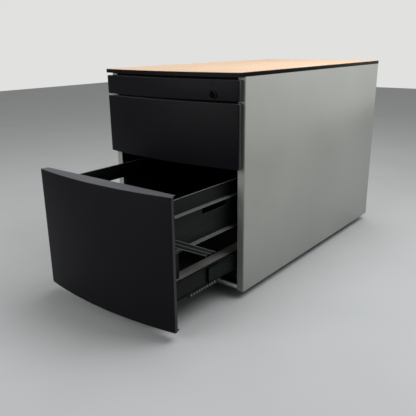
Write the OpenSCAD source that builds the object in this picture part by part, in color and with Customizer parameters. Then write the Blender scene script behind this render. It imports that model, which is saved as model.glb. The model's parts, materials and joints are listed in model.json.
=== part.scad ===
// Rolling pedestal cabinet: a sheet-steel case on four recessed twin-wheel castors, with a thin
// laminate top board, a pencil tray, a box drawer and a file drawer behind bowed fronts, on
// telescopic slides, and a central lock worked from the tray's front.
// Origin: on the floor, at the middle of the box round the whole cabinet while the file drawer
// stands out by file_open. +X is the cabinet's right as it is faced, +Y its back, +Z up. Sizes in mm.

/* [Case] */
// Width over the side panels
case_w = 430; // [426:1:440]
// Depth of the side panels
case_d = 782; // [770:1:800]
// Lower edge of the side panels above the floor
case_bottom = 20; // [16:1:24]
// Upper edge of the side panels above the floor
case_top = 540; // [538:1:544]
// Thickness of the folded steel sheet
sheet = 1.2; // [0.8:0.1:1.5]
// Width of the front flange of each side panel
flange_w = 19; // [18:1:20]
// Outer radius of the panels' upright folds
fold_r = 3; // [2:0.5:4]

/* [Top board] */
// Thickness of the dark board core
core_t = 9.2; // [8:0.1:12]
// Thickness of the wood-decor laminate on it
decor_t = 0.8; // [0.6:0.1:1.2]

/* [Fronts] */
// How far a front's corners stand ahead of the case flanges
overhang = 19.4; // [18:0.1:22]
// Rise of the fronts' bow, from its corners to its middle
bow = 20; // [12:1:26]
// Half the width of a drawer front
front_half = 213; // [210:1:213]
// Lower and upper edge of the tray front
tray_z = [487, 533.5];
// Lower and upper edge of the box drawer's front
middle_z = [333, 482];
// Lower and upper edge of the file drawer's front
file_z = [22.5, 325];
// Depth of a front's side returns, behind which the fingers reach
side_return = 8; // [6:0.5:10]

/* [Drawers] */
// How far the file drawer stands open
file_open = 232; // [0:1:400]
// Length of the telescopic slides
slide_l = 700; // [600:10:720]
// Length of the tray's two-part runners
tray_runner_l = 500; // [400:10:600]

/* [Lock] */
// Distance of the lock to the right of the middle
lock_x = 147.5; // [120:0.5:150]
// Height of the lock
lock_z = 500.5; // [500:0.5:501]

/* [Castors] */
// Radius of the castor wheels
wheel_r = 22; // [18:0.5:23]
// Distance of the castor stems from the middle
castor_x = 150; // [120:1:150]
// Distance of the castor stems from the case's front and back
castor_y = 70; // [65:1:120]

/* [Hidden] */
$fn = 64;

// Case
half_w = case_w / 2;
opening_half = half_w - flange_w;
case_front_y = -(case_d - overhang - bow - file_open) / 2;
board_top = case_top + core_t + decor_t;
rear_flange = 15;
base_z = 57;
base_front_y = 15;
back_y = case_d - 2 * sheet - 0.2;
joint_gap = 0.2;
fold_in = half_w - fold_r - joint_gap;
liner_y = [20, 740];
liner_z = [60, 532];

// Fronts: the bow is an arc through both corners and the middle
bow_r = (front_half * front_half + bow * bow) / (2 * bow);
front_y = -overhang - bow;
front_clear = 0.8;
front_flange_half = front_half - 4;
hat_w = 30;

// Slides: a stack of three members between the drawer's wall and the liner
box_half = 183;
slide_h = 45;
slide_sheet = 1.4;
slide_y = 10;
file_slide_z = 75.5;
middle_slide_z = 350;
tray_slide_z = 494;
tray_slide_h = 20;
lip = 6;

// Boxes
middle_box_z = [340, 455];
middle_box_d = 720;
tray_box_z = [491, 520];
tray_box_d = 600;
insert_y = [20, 330];
insert_z = [492.4, 512];
insert_half = 172;

// File drawer frame
web_x = 171;
web_z = [186, 300];
ledge_z = 264;
ledge_x = 187;
rail_top = 118;
rail_in = 150;
file_d = 700;
leg_w = 45;

// Lock works
barrel_r = 9;
core_r = 7;
run_gap = 0.05;
cam_y = [4, 6];
bolt_y = [6.4, 8.4];
bolt_z = [503, 515];
cam_r = 12;
cam_pin_r = 1.8;
cam_throw = 9.9;
bar_x = [198.5, 210.5];
bar_y = [9.2, 11.2];
bar_pin = [203, 509.4];
finger_z = [274, 404];
catch_y = [12, 14];
catch_x = box_half + 9;

// Castors
stem_r = 5;
stem_low = 46.4;
boss_low = 44.4;
trail = 18;
plate_t = 2;
screw_r = 2.5;
small_screw_r = 2;
hole_gap = 0.1;

// ---------- helpers ----------

// A block from its lowest to its highest corner
module block(lo, hi) {
    translate(lo) cube(hi - lo);
}

module in_case() {
    translate([0, case_front_y, 0]) children();
}

// The file drawer's own place; a share below 1 is for a member that follows it part of the way
module in_file_drawer(share = 1) {
    translate([0, case_front_y - share * file_open, 0]) children();
}

module on_left() {
    mirror([1, 0, 0]) children();
}

// Draws a section given in X and Z from y0 back to y1
module along_y(y0, y1) {
    translate([0, y1, 0]) rotate([90, 0, 0]) linear_extrude(y1 - y0) children();
}

module rod_y(x, z, y0, y1, r) {
    translate([x, y1, z]) rotate([90, 0, 0]) cylinder(r = r, h = y1 - y0);
}

// A pan-head screw along +Z whose head ends at z = 0
module screw_up(r, shank) {
    translate([0, 0, -1.2 * r]) cylinder(r = 1.9 * r, h = 1.2 * r);
    translate([0, 0, -0.1]) cylinder(r = r, h = shank + 0.1);
}

// The same screw pointing forward, from y towards the front
module screw_forward(x, y, z, r, shank) {
    translate([x, y, z]) rotate([90, 0, 0]) screw_up(r, shank);
}

// ---------- case ----------

// The plan of the top board and the fronts: a block cut by the bow
module bow_disc(inset = 0) {
    translate([0, front_y + bow_r]) circle(r = bow_r - inset, $fn = 720);
}

module board_plan() {
    intersection() {
        translate([-half_w, front_y]) square([case_w, case_d - front_y]);
        bow_disc();
    }
}

board_screw_y = [60, case_d / 2, case_d - 60];
board_screw_x = half_w - 9;

module top_board_core() {
    color([0.07, 0.07, 0.08]) in_case() difference() {
        translate([0, 0, case_top]) linear_extrude(core_t) board_plan();
        for (side = [-1, 1], y = board_screw_y)
            translate([side * board_screw_x, y, case_top - 1])
                cylinder(r = screw_r + hole_gap, h = 8);
    }
}

module top_board_decor() {
    color([0.80, 0.62, 0.42]) in_case()
        translate([0, 0, case_top + core_t]) linear_extrude(decor_t) board_plan();
}

// One quarter of the ring that the sheet makes at an upright fold
module fold_ring(x, y, turn) {
    translate([x, y]) rotate(turn) intersection() {
        difference() {
            circle(r = fold_r);
            circle(r = fold_r - sheet);
        }
        square(fold_r);
    }
}

module panel_plan() {
    translate([half_w - sheet, fold_r]) square([sheet, case_d - 2 * fold_r]);
    translate([opening_half, 0]) square([flange_w - fold_r, sheet]);
    translate([half_w - rear_flange, case_d - sheet]) square([rear_flange - fold_r, sheet]);
    fold_ring(half_w - fold_r, fold_r, -90);
    fold_ring(half_w - fold_r, case_d - fold_r, 0);
}

module side_panel_right() {
    color([0.60, 0.62, 0.60]) in_case() difference() {
        union() {
            translate([0, 0, case_bottom]) linear_extrude(case_top - case_bottom) panel_plan();
            block([opening_half, fold_r, case_top - sheet], [half_w - 0.5, case_d - fold_r, case_top]);
            block([half_w - rear_flange, fold_r, case_bottom],
                  [half_w - 0.5, case_d - fold_r, case_bottom + sheet]);
        }
        for (y = board_screw_y)
            translate([board_screw_x, y, case_top - 2 * sheet])
                cylinder(r = screw_r + hole_gap, h = 3 * sheet);
    }
}

module side_panel_left() {
    on_left() side_panel_right();
}

module back_panel() {
    color([0.58, 0.60, 0.58]) in_case()
        block([-fold_in, back_y, case_bottom + sheet + joint_gap],
              [fold_in, back_y + sheet, case_top - sheet - joint_gap]);
}

castor_spots = [[-castor_x, castor_y], [castor_x, castor_y],
    [-castor_x, case_d - castor_y], [castor_x, case_d - castor_y]];
plate_half = 27;
plate_hole = 20;

module at_plate_holes() {
    for (spot = castor_spots, i = [-1, 1], j = [-1, 1])
        translate([spot[0] + i * plate_hole, spot[1] + j * plate_hole, base_z]) children();
}

// A tray-shaped floor, folded down all round, that stiffens the case and carries the castors
module base_pan() {
    color([0.08, 0.08, 0.09]) in_case() difference() {
        block([-half_w + sheet + joint_gap, base_front_y, base_z - 22],
              [half_w - sheet - joint_gap, back_y - joint_gap, base_z + sheet]);
        block([-half_w + 2 * sheet + joint_gap, base_front_y + sheet, base_z - 23],
              [half_w - 2 * sheet - joint_gap, back_y - sheet - joint_gap, base_z]);
        at_plate_holes() translate([0, 0, -1]) cylinder(r = screw_r + hole_gap, h = 4);
    }
}

rail_z = [22.5, 37];
rail_round = 5;
rail_d = 12;

// Section of the bright rail across the case's foot: a channel with a rounded upper front edge
module rail_section(inset) {
    front = sheet + joint_gap;
    low = inset > 0 ? rail_z[0] - 1 : rail_z[0];
    translate([front + inset, low]) square([rail_d - 2 * inset, rail_z[1] - rail_round - low]);
    translate([front + rail_round, low])
        square([rail_d - rail_round - inset, rail_z[1] - inset - low]);
    translate([front + rail_round, rail_z[1] - rail_round]) circle(r = rail_round - inset);
}

module bottom_rail_front() {
    color([0.72, 0.73, 0.74]) in_case()
        translate([-fold_in, 0, 0]) rotate([90, 0, 90])
            linear_extrude(2 * fold_in) difference() {
                rail_section(0);
                rail_section(sheet);
            }
}

module top_rail_front() {
    top = case_top - sheet;
    reach = half_w - sheet - joint_gap;
    color([0.08, 0.08, 0.09]) in_case() difference() {
        union() {
            block([-opening_half + 1, 4, top - 12], [opening_half - 1, 4 + sheet, top]);
            block([-reach, 4, top - sheet], [reach, 35, top]);
        }
        // notches that leave room for the upright bar of the lock
        for (side = [-1, 1])
            translate([side * (reach - 4) - 10, -1, top - 20]) cube([20, 18, 30]);
    }
}

// Inner side sheet, folded out at both ends to the panel, which the runners are screwed to
module liner_right() {
    color([0.08, 0.08, 0.09]) in_case() difference() {
        block([opening_half, liner_y[0], liner_z[0]],
              [half_w - sheet - joint_gap, liner_y[1], liner_z[1]]);
        block([opening_half + sheet, liner_y[0] + sheet, liner_z[0] - 1],
              [half_w, liner_y[1] - sheet, liner_z[1] + 1]);
    }
}

module liner_left() {
    on_left() liner_right();
}

// Counterweight that keeps the cabinet from tipping when a drawer is out
module ballast_plate() {
    color([0.25, 0.25, 0.26]) in_case()
        block([-120, 505, base_z + sheet], [120, 765, base_z + sheet + 14]);
}

module castor_plates() {
    color([0.75, 0.76, 0.78]) in_case() for (spot = castor_spots)
        translate([spot[0], spot[1], 0]) difference() {
            union() {
                block([-plate_half, -plate_half, base_z - plate_t], [plate_half, plate_half, base_z]);
                translate([0, 0, stem_low])
                    cylinder(r = stem_r, h = base_z - plate_t - stem_low + 0.5);
            }
            for (i = [-1, 1], j = [-1, 1])
                translate([i * plate_hole, j * plate_hole, base_z - 2 * plate_t])
                    cylinder(r = screw_r + hole_gap, h = 3 * plate_t);
        }
}

module case_screws() {
    color([0.75, 0.76, 0.78]) in_case() {
        for (side = [-1, 1], y = board_screw_y)
            translate([side * board_screw_x, y, case_top - sheet]) screw_up(screw_r, 7);
        at_plate_holes() translate([0, 0, -plate_t]) screw_up(screw_r, 5);
    }
}

// ---------- slides, drawn for the right side ----------

module channel(x0, x1, z0, z1, web_at_x0) {
    difference() {
        translate([x0, z0]) square([x1 - x0, z1 - z0]);
        translate([web_at_x0 ? x0 + slide_sheet : x0 - 1, z0 + slide_sheet])
            square([x1 - x0 - slide_sheet + 1, z1 - z0 - 2 * slide_sheet]);
    }
}

// Outer member, screwed to the liner
module runner(z, y) {
    along_y(y, y + slide_l)
        channel(opening_half - lip, opening_half, z, z + slide_h, false);
}

// Middle member, an I section that runs in both channels and moves half as far as the drawer
module mid_member(z, y) {
    mid_x = (box_half + opening_half) / 2;
    along_y(y, y + slide_l) {
        translate([mid_x - slide_sheet / 2, z + 4]) square([slide_sheet, slide_h - 8]);
        for (flange_z = [z + 4, z + slide_h - 4 - slide_sheet])
            translate([mid_x - 4.1, flange_z]) square([8.2, slide_sheet]);
    }
}

// Inner member, fixed to the drawer, with a row of slots in its lower lip
module drawer_member(z, y) {
    slots = 10;
    pitch = 9.5;
    first = 57;
    difference() {
        along_y(y, y + slide_l) channel(box_half, box_half + lip, z, z + slide_h, true);
        for (i = [0:slots - 1])
            translate([box_half + slide_sheet + 1, first + i * pitch, z - 1])
                cube([lip, 5.5, slide_sheet + 2]);
    }
}

module middle_runner_right() {
    color([0.62, 0.63, 0.65]) in_case() runner(middle_slide_z, slide_y);
}

module middle_runner_left() {
    on_left() middle_runner_right();
}

module middle_mid_right() {
    color([0.66, 0.67, 0.69]) in_case() mid_member(middle_slide_z, slide_y);
}

module middle_mid_left() {
    on_left() middle_mid_right();
}

module middle_slide_right() {
    color([0.62, 0.63, 0.65]) in_case() drawer_member(middle_slide_z, slide_y);
}

module middle_slide_left() {
    on_left() middle_slide_right();
}

module file_runner_right() {
    color([0.62, 0.63, 0.65]) in_case() runner(file_slide_z, slide_y);
}

module file_runner_left() {
    on_left() file_runner_right();
}

module file_mid_right() {
    color([0.66, 0.67, 0.69]) in_file_drawer(0.5) mid_member(file_slide_z, slide_y);
}

module file_mid_left() {
    on_left() file_mid_right();
}

module file_slide_right() {
    color([0.20, 0.21, 0.22]) in_file_drawer() drawer_member(file_slide_z, slide_y);
}

module file_slide_left() {
    on_left() file_slide_right();
}

module tray_runner_right() {
    color([0.62, 0.63, 0.65]) in_case() along_y(slide_y, slide_y + tray_runner_l)
        channel(opening_half - 10, opening_half, tray_slide_z, tray_slide_z + tray_slide_h, false);
}

module tray_runner_left() {
    on_left() tray_runner_right();
}

module tray_slide_right() {
    color([0.62, 0.63, 0.65]) in_case() along_y(slide_y, slide_y + tray_runner_l)
        channel(box_half, box_half + 10, tray_slide_z + 2.5, tray_slide_z + tray_slide_h - 2.5, true);
}

module tray_slide_left() {
    on_left() tray_slide_right();
}

// ---------- drawer fronts ----------

// Part of the front's plan that lies inside the bow
module front_plan(x0, y0, x1, y1) {
    intersection() {
        bow_disc();
        translate([x0, y0]) square([x1 - x0, y1 - y0]);
    }
}

// A folded steel pan, open at the back: bowed skin, short side returns, deep flanges above and
// below, and two upright hat sections welded inside at +-hat_x that the drawer is screwed to
module bowed_front(z, hat_x, screw_z) {
    back = -front_clear;
    inner = front_y + 3;
    difference() {
        union() {
            translate([0, 0, z[0]]) linear_extrude(z[1] - z[0]) {
                difference() {
                    front_plan(-front_half, front_y, front_half, front_y + bow + 5);
                    bow_disc(sheet);
                }
                for (side = [-1, 1])
                    front_plan(side > 0 ? front_half - sheet : -front_half, front_y,
                               side > 0 ? front_half : -front_half + sheet, side_return - overhang);
            }
            for (flange_z = [z[0], z[1] - sheet])
                translate([0, 0, flange_z]) linear_extrude(sheet)
                    front_plan(-front_flange_half, front_y, front_flange_half, back);
            translate([0, 0, z[0] + sheet / 2]) linear_extrude(z[1] - z[0] - sheet)
                for (side = [-1, 1]) {
                    middle = side * hat_x;
                    front_plan(middle - hat_w / 2, back - sheet, middle + hat_w / 2, back);
                    front_plan(middle - hat_w / 2, inner, middle - hat_w / 2 + sheet, back);
                    front_plan(middle + hat_w / 2 - sheet, inner, middle + hat_w / 2, back);
                }
        }
        for (side = [-1, 1], height = screw_z)
            rod_y(side * hat_x, height, back - 2 * sheet, back + 1, small_screw_r + hole_gap);
    }
}

tray_hat_x = 90;
tray_screw_z = [499, 512];
middle_hat_x = 120;
middle_screw_z = [360, 435];
file_hat_x = 163;
file_screw_z = [96, 205, 285];

module tray_front() {
    color([0.08, 0.08, 0.09]) in_case() difference() {
        bowed_front(tray_z, tray_hat_x, tray_screw_z);
        rod_y(lock_x, lock_z, front_y - 1, -10, barrel_r + run_gap);
    }
}

module middle_front() {
    color([0.08, 0.08, 0.09]) in_case() bowed_front(middle_z, middle_hat_x, middle_screw_z);
}

module file_front() {
    color([0.08, 0.08, 0.09]) in_file_drawer() bowed_front(file_z, file_hat_x, file_screw_z);
}

module front_screws(hat_x, heights) {
    for (side = [-1, 1], height = heights)
        screw_forward(side * hat_x, -front_clear + sheet, height, small_screw_r, 4);
}

module tray_screws() {
    color([0.75, 0.76, 0.78]) in_case() front_screws(tray_hat_x, tray_screw_z);
}

module middle_screws() {
    color([0.75, 0.76, 0.78]) in_case() front_screws(middle_hat_x, middle_screw_z);
}

module file_screws() {
    color([0.75, 0.76, 0.78]) in_file_drawer() front_screws(file_hat_x, file_screw_z);
}

// ---------- tray and box drawer ----------

// An open-topped sheet box is made of a floor, two sides on it and two ends between them
module box_floor(z, depth) {
    block([-box_half, -front_clear, z[0]], [box_half, depth, z[0] + sheet]);
}

module box_sides(z, depth) {
    for (side = [0, 1]) mirror([side, 0, 0])
        block([box_half - sheet, -front_clear, z[0] + sheet], [box_half, depth, z[1]]);
}

// The front end has holes for the screws into the drawer's front
module box_ends(z, depth, hat_x, screw_z) {
    inner = box_half - sheet;
    difference() {
        for (y = [-front_clear, depth - sheet])
            block([-inner, y, z[0] + sheet], [inner, y + sheet, z[1]]);
        for (side = [-1, 1], height = screw_z)
            rod_y(side * hat_x, height, -2, 2, small_screw_r + hole_gap);
    }
}

module tray_floor() {
    color([0.10, 0.10, 0.11]) in_case() difference() {
        box_floor(tray_box_z, tray_box_d);
        // room for the lock's barrel and cam
        block([lock_x - 14, -2, tray_box_z[0] - 1], [lock_x + 14, 8, tray_box_z[0] + sheet + 1]);
    }
}

module tray_sides() {
    color([0.10, 0.10, 0.11]) in_case() difference() {
        box_sides(tray_box_z, tray_box_d);
        // slot that the bolt comes out through
        block([box_half - 3, bolt_y[0] - 0.4, bolt_z[0] - 0.5],
              [box_half + 1, bolt_y[1] + 0.4, bolt_z[1] + 0.5]);
    }
}

module tray_ends() {
    color([0.10, 0.10, 0.11]) in_case() difference() {
        box_ends(tray_box_z, tray_box_d, tray_hat_x, tray_screw_z);
        rod_y(lock_x, lock_z, -2, 2, barrel_r + 0.3);
    }
}

module middle_floor() {
    color([0.10, 0.10, 0.11]) in_case() box_floor(middle_box_z, middle_box_d);
}

module middle_sides() {
    color([0.10, 0.10, 0.11]) in_case() box_sides(middle_box_z, middle_box_d);
}

module middle_ends() {
    color([0.10, 0.10, 0.11]) in_case()
        box_ends(middle_box_z, middle_box_d, middle_hat_x, middle_screw_z);
}

// Tab on a drawer's side that a finger of the lock bar drops in front of
module catch_tab(from_x, finger) {
    block([from_x, catch_y[0], finger - 8], [catch_x, catch_y[1], finger - 1]);
}

module middle_catch() {
    color([0.70, 0.71, 0.73]) in_case() catch_tab(box_half, finger_z[1]);
}

// Moulded insert with three long pen channels behind a wide cross channel
module pencil_tray() {
    wall = 2.5;
    cross = 70;
    lanes = 3;
    lane_w = (2 * insert_half - wall * (lanes + 1)) / lanes;
    color([0.06, 0.06, 0.07]) in_case() difference() {
        block([-insert_half, insert_y[0], insert_z[0]], [insert_half, insert_y[1], insert_z[1]]);
        block([-insert_half + wall, insert_y[0] + wall, insert_z[0] + 2],
              [insert_half - wall, insert_y[0] + cross, insert_z[1] + 1]);
        for (i = [0:lanes - 1])
            translate([-insert_half + wall + i * (lane_w + wall), insert_y[0] + cross + wall,
                       insert_z[0] + 2])
                cube([lane_w, insert_y[1] - insert_y[0] - cross - 2 * wall, insert_z[1] - insert_z[0]]);
    }
}

// ---------- lock ----------

// Fixed barrel, with a rim whose back follows the bow of the front
module lock_barrel() {
    rim_r = 10.2;
    rim_y = front_y + 7.2;
    color([0.45, 0.46, 0.48]) in_case() difference() {
        union() {
            difference() {
                rod_y(lock_x, lock_z, rim_y, rim_y + 6, rim_r);
                translate([0, 0, lock_z - 20]) linear_extrude(40) bow_disc(-run_gap);
            }
            rod_y(lock_x, lock_z, rim_y, cam_y[0] - 0.2, barrel_r);
        }
        rod_y(lock_x, lock_z, rim_y - 1, cam_y[0] + 1, core_r + run_gap);
    }
}

// Turning plug with the key slot, set back a little in the barrel
module lock_core() {
    face_y = front_y + 8;
    color([0.55, 0.56, 0.58]) in_case() difference() {
        rod_y(lock_x, lock_z, face_y, cam_y[0], core_r);
        block([lock_x - 0.9, face_y - 1, lock_z - 4.5], [lock_x + 0.9, face_y + 12, lock_z + 4.5]);
    }
}

module lock_cam() {
    color([0.70, 0.71, 0.73]) in_case() {
        rod_y(lock_x, lock_z, cam_y[0], cam_y[1], cam_r);
        rod_y(lock_x - cam_throw * sin(45), lock_z + cam_throw * cos(45),
              cam_y[1] - 0.5, bolt_y[1] + 0.6, cam_pin_r);
    }
}

// Bolt that the cam's pin drives to the right; its sloped nose pushes the lock bar down
module lock_bolt() {
    slot_x = lock_x - cam_throw * sin(45);
    nose = opening_half - 3;
    play = cam_pin_r + 0.6;
    color([0.70, 0.71, 0.73]) in_case() difference() {
        along_y(bolt_y[0], bolt_y[1])
            polygon([[slot_x - 7, bolt_z[0]], [nose - 6, bolt_z[0]], [nose, bolt_z[1] - 1],
                     [nose, bolt_z[1]], [slot_x - 7, bolt_z[1]]]);
        block([slot_x - play, bolt_y[0] - 1, lock_z + cam_throw * cos(45) - play],
              [slot_x + play, bolt_y[1] + 1, lock_z + cam_throw + play]);
    }
}

// Upright bar behind the right flange, with a finger for each lower drawer
module lock_bar() {
    color([0.70, 0.71, 0.73]) in_case() {
        block([bar_x[0], bar_y[0], finger_z[0]], [bar_x[1], bar_y[1], bar_pin[1] + 6]);
        for (z = finger_z)
            block([bar_x[0] - 9.5, bar_y[0], z], [bar_x[0] + 1, bar_y[1], z + 8]);
        rod_y(bar_pin[0], bar_pin[1], bolt_y[0] - 0.2, bar_y[0] + 0.5, 1.5);
    }
}

module lock_bar_guides() {
    play = 0.4;
    color([0.06, 0.06, 0.07]) in_case() for (z = [335, 455]) difference() {
        block([bar_x[0] - 1.5, bar_y[0] - 2, z], [half_w - sheet, bar_y[1] + 2, z + 10]);
        block([bar_x[0] - play, bar_y[0] - play, z - 1], [bar_x[1] + play, bar_y[1] + play, z + 11]);
    }
}

// ---------- file drawer ----------

// Upper side frame that hanging files ride on, with two ledges turned out, a row of slots and
// legs down to the lower rail
module file_side_right() {
    slot_l = 90;
    slot_z = [243, 262];
    front = -front_clear;
    color([0.22, 0.23, 0.24]) in_file_drawer() difference() {
        union() {
            block([web_x, front, web_z[0]], [web_x + sheet, file_d, web_z[1]]);
            block([web_x, front, web_z[1] - sheet], [web_x + 4, file_d, web_z[1]]);
            block([web_x, front, ledge_z], [ledge_x, file_d, ledge_z + sheet]);
            block([web_x, front, web_z[0]], [ledge_x, file_d, web_z[0] + sheet]);
            block([rail_in, front, web_z[0]], [web_x + 0.5, front + sheet, web_z[1] - 2]);
            for (y = [front, file_d - leg_w])
                block([web_x, y, rail_top], [web_x + sheet, y + leg_w, web_z[0] + 0.5]);
        }
        for (i = [0:2])
            translate([web_x - 1, 128 + i * 190, slot_z[0]])
                cube([sheet + 2, slot_l, slot_z[1] - slot_z[0]]);
        for (height = [file_screw_z[1], file_screw_z[2]])
            rod_y(file_hat_x, height, front - 1, 2, small_screw_r + hole_gap);
    }
}

module file_side_left() {
    on_left() file_side_right();
}

module file_catch() {
    color([0.70, 0.71, 0.73]) in_file_drawer() catch_tab(web_x + sheet, finger_z[0]);
}

// Lower rail: a channel with a wide flat top, closed by its front flange
module file_rail_right() {
    front = -front_clear;
    foot = file_slide_z;
    color([0.30, 0.31, 0.32]) in_file_drawer() difference() {
        union() {
            block([rail_in, front, rail_top - sheet], [box_half, file_d, rail_top]);
            block([box_half - sheet, front, foot], [box_half, file_d, rail_top]);
            block([rail_in, front, rail_top - 14], [rail_in + sheet, file_d, rail_top]);
            block([box_half - 14, front, foot], [box_half, file_d, foot + sheet]);
            block([rail_in, front, foot + 3], [box_half, front + sheet, rail_top]);
        }
        rod_y(file_hat_x, file_screw_z[0], front - 1, 2, small_screw_r + hole_gap);
    }
}

module file_rail_left() {
    on_left() file_rail_right();
}

module file_back() {
    color([0.10, 0.10, 0.11]) in_file_drawer()
        block([-box_half, file_d, file_slide_z], [box_half, file_d + sheet, web_z[1]]);
}

module file_floor() {
    low = file_slide_z + sheet;
    color([0.10, 0.10, 0.11]) in_file_drawer()
        block([-box_half + sheet, 1, low], [box_half - sheet, file_d, low + sheet]);
}

// Sloping stay on the outside of the frame: a rolled channel, flanged to the front at its upper end
// and cut level at its lower end
module file_stay_right() {
    front = [18, 210.5];
    back = [132, 150.5];
    width = 16.5;
    rim = 1.5;
    depth = 4.6;
    foot_z = 149.5;
    slope = atan2(back[1] - front[1], back[0] - front[0]);
    length = norm(back - front);
    color([0.34, 0.35, 0.36]) in_file_drawer() {
        difference() {
            translate([ledge_x, front[0], front[1]]) rotate([slope, 0, 0]) {
                block([0, -16, -width / 2], [sheet, length + 20, width / 2]);
                for (edge = [-width / 2, -rim / 2, width / 2 - rim])
                    block([0, -16, edge], [depth, length + 20, edge + rim]);
            }
            block([ledge_x - 1, 0, foot_z - 40], [ledge_x + depth + 1, length + 60, foot_z]);
        }
        block([web_x + sheet, -front_clear, 206], [ledge_x + 2, -front_clear + sheet, 240]);
        block([ledge_x, -front_clear, 206], [ledge_x + sheet, 10, 240]);
    }
}

module file_stay_left() {
    on_left() file_stay_right();
}

// ---------- castors ----------

// Twin-wheel castor housing: a middle web and a hood over both wheels, turning on the plate's stem
module castor_housing(spot) {
    web = 4;
    hood_half = 19;
    hood_r = wheel_r + 1.3;
    color([0.05, 0.05, 0.06]) in_case() translate([spot[0], spot[1], 0]) difference() {
        union() {
            translate([0, 0, boss_low]) cylinder(r = 9, h = base_z - plate_t - 1 - boss_low);
            translate([-web, 0, wheel_r - 4]) cube([2 * web, trail, boss_low - wheel_r + 5]);
            translate([-web, trail, wheel_r]) rotate([0, 90, 0]) cylinder(r = 14, h = 2 * web);
            difference() {
                translate([-hood_half, trail, wheel_r]) rotate([0, 90, 0])
                    cylinder(r = hood_r + 1.7, h = 2 * hood_half);
                translate([-hood_half - 1, trail, wheel_r]) rotate([0, 90, 0])
                    cylinder(r = hood_r, h = 2 * hood_half + 2);
                translate([-30, -40, -10]) cube([60, 120, wheel_r + 12]);
            }
            intersection() {
                translate([-web, trail, wheel_r]) rotate([0, 90, 0])
                    cylinder(r = hood_r + 0.5, h = 2 * web);
                translate([-web, -20, wheel_r]) cube([2 * web, 80, 40]);
            }
        }
        translate([0, 0, stem_low - 0.6]) cylinder(r = stem_r + run_gap, h = 30);
        translate([-30, trail, wheel_r]) rotate([0, 90, 0]) cylinder(r = 3 + run_gap, h = 60);
    }
}

// Both wheels on their common axle
module castor_wheels(spot) {
    gap = 5;
    width = 12.5;
    color([0.09, 0.09, 0.10]) in_case() translate([spot[0], spot[1] + trail, wheel_r])
        rotate([0, 90, 0]) {
            translate([0, 0, -gap - width]) cylinder(r = 3, h = 2 * gap + 2 * width);
            for (side = [0, 1]) mirror([0, 0, side]) translate([0, 0, gap]) rotate_extrude()
                polygon([[0, 0], [wheel_r - 1.2, 0], [wheel_r, 1.5], [wheel_r, width - 3],
                         [wheel_r - 2, width - 0.8], [wheel_r - 5, width - 0.8],
                         [wheel_r - 6.5, width - 3], [6, width - 3], [5, width], [0, width]]);
        }
}

module castor_housing_front_left() {
    castor_housing(castor_spots[0]);
}

module castor_housing_front_right() {
    castor_housing(castor_spots[1]);
}

module castor_housing_rear_left() {
    castor_housing(castor_spots[2]);
}

module castor_housing_rear_right() {
    castor_housing(castor_spots[3]);
}

module castor_wheels_front_left() {
    castor_wheels(castor_spots[0]);
}

module castor_wheels_front_right() {
    castor_wheels(castor_spots[1]);
}

module castor_wheels_rear_left() {
    castor_wheels(castor_spots[2]);
}

module castor_wheels_rear_right() {
    castor_wheels(castor_spots[3]);
}

top_board_core();
top_board_decor();
side_panel_left();
side_panel_right();
back_panel();
base_pan();
bottom_rail_front();
top_rail_front();
liner_left();
liner_right();
ballast_plate();
castor_plates();
case_screws();
tray_runner_left();
tray_runner_right();
middle_runner_left();
middle_runner_right();
file_runner_left();
file_runner_right();
lock_bar_guides();
lock_bar();
castor_housing_front_left();
castor_housing_front_right();
castor_housing_rear_left();
castor_housing_rear_right();
castor_wheels_front_left();
castor_wheels_front_right();
castor_wheels_rear_left();
castor_wheels_rear_right();
tray_front();
tray_floor();
tray_sides();
tray_ends();
pencil_tray();
tray_slide_left();
tray_slide_right();
tray_screws();
lock_barrel();
lock_core();
lock_cam();
lock_bolt();
middle_front();
middle_floor();
middle_sides();
middle_ends();
middle_catch();
middle_slide_left();
middle_slide_right();
middle_screws();
middle_mid_left();
middle_mid_right();
file_front();
file_side_left();
file_side_right();
file_rail_left();
file_rail_right();
file_back();
file_floor();
file_catch();
file_stay_left();
file_stay_right();
file_slide_left();
file_slide_right();
file_screws();
file_mid_left();
file_mid_right();
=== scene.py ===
"""Looks of a rolling pedestal cabinet: materials, rolled sheet edges, slide hardware, light and camera.

The cabinet is a powder-coated sheet-steel case on recessed twin-wheel castors, with a thin
wood-decor top board and three bowed drawer fronts. Everything is in metres, in the frame's axes:
+X the cabinet's right as it is faced, +Y its back, +Z up.
"""

import json
import logging
import math
from dataclasses import dataclass
from enum import Enum

import bmesh
import bpy
from mathutils import Matrix, Vector

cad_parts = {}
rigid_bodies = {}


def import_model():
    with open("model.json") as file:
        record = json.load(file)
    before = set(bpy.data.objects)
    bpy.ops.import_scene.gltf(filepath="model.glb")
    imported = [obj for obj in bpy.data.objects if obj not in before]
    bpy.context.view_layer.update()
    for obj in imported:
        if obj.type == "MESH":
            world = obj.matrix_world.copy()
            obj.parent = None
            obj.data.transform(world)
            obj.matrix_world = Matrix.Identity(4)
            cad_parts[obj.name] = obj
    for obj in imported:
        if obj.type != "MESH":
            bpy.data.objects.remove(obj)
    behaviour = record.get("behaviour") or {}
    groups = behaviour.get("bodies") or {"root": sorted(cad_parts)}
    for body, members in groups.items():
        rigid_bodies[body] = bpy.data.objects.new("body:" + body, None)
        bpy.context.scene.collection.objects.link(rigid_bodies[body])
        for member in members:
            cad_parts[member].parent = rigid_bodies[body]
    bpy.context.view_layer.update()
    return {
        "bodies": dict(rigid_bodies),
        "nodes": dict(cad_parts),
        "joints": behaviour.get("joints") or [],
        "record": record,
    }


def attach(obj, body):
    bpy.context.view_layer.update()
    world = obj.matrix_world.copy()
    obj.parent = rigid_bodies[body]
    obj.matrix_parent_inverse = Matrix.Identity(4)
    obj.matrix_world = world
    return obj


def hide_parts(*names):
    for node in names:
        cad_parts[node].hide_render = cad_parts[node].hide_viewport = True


MM = 0.001
LOG = logging.getLogger("pedestal")

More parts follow.
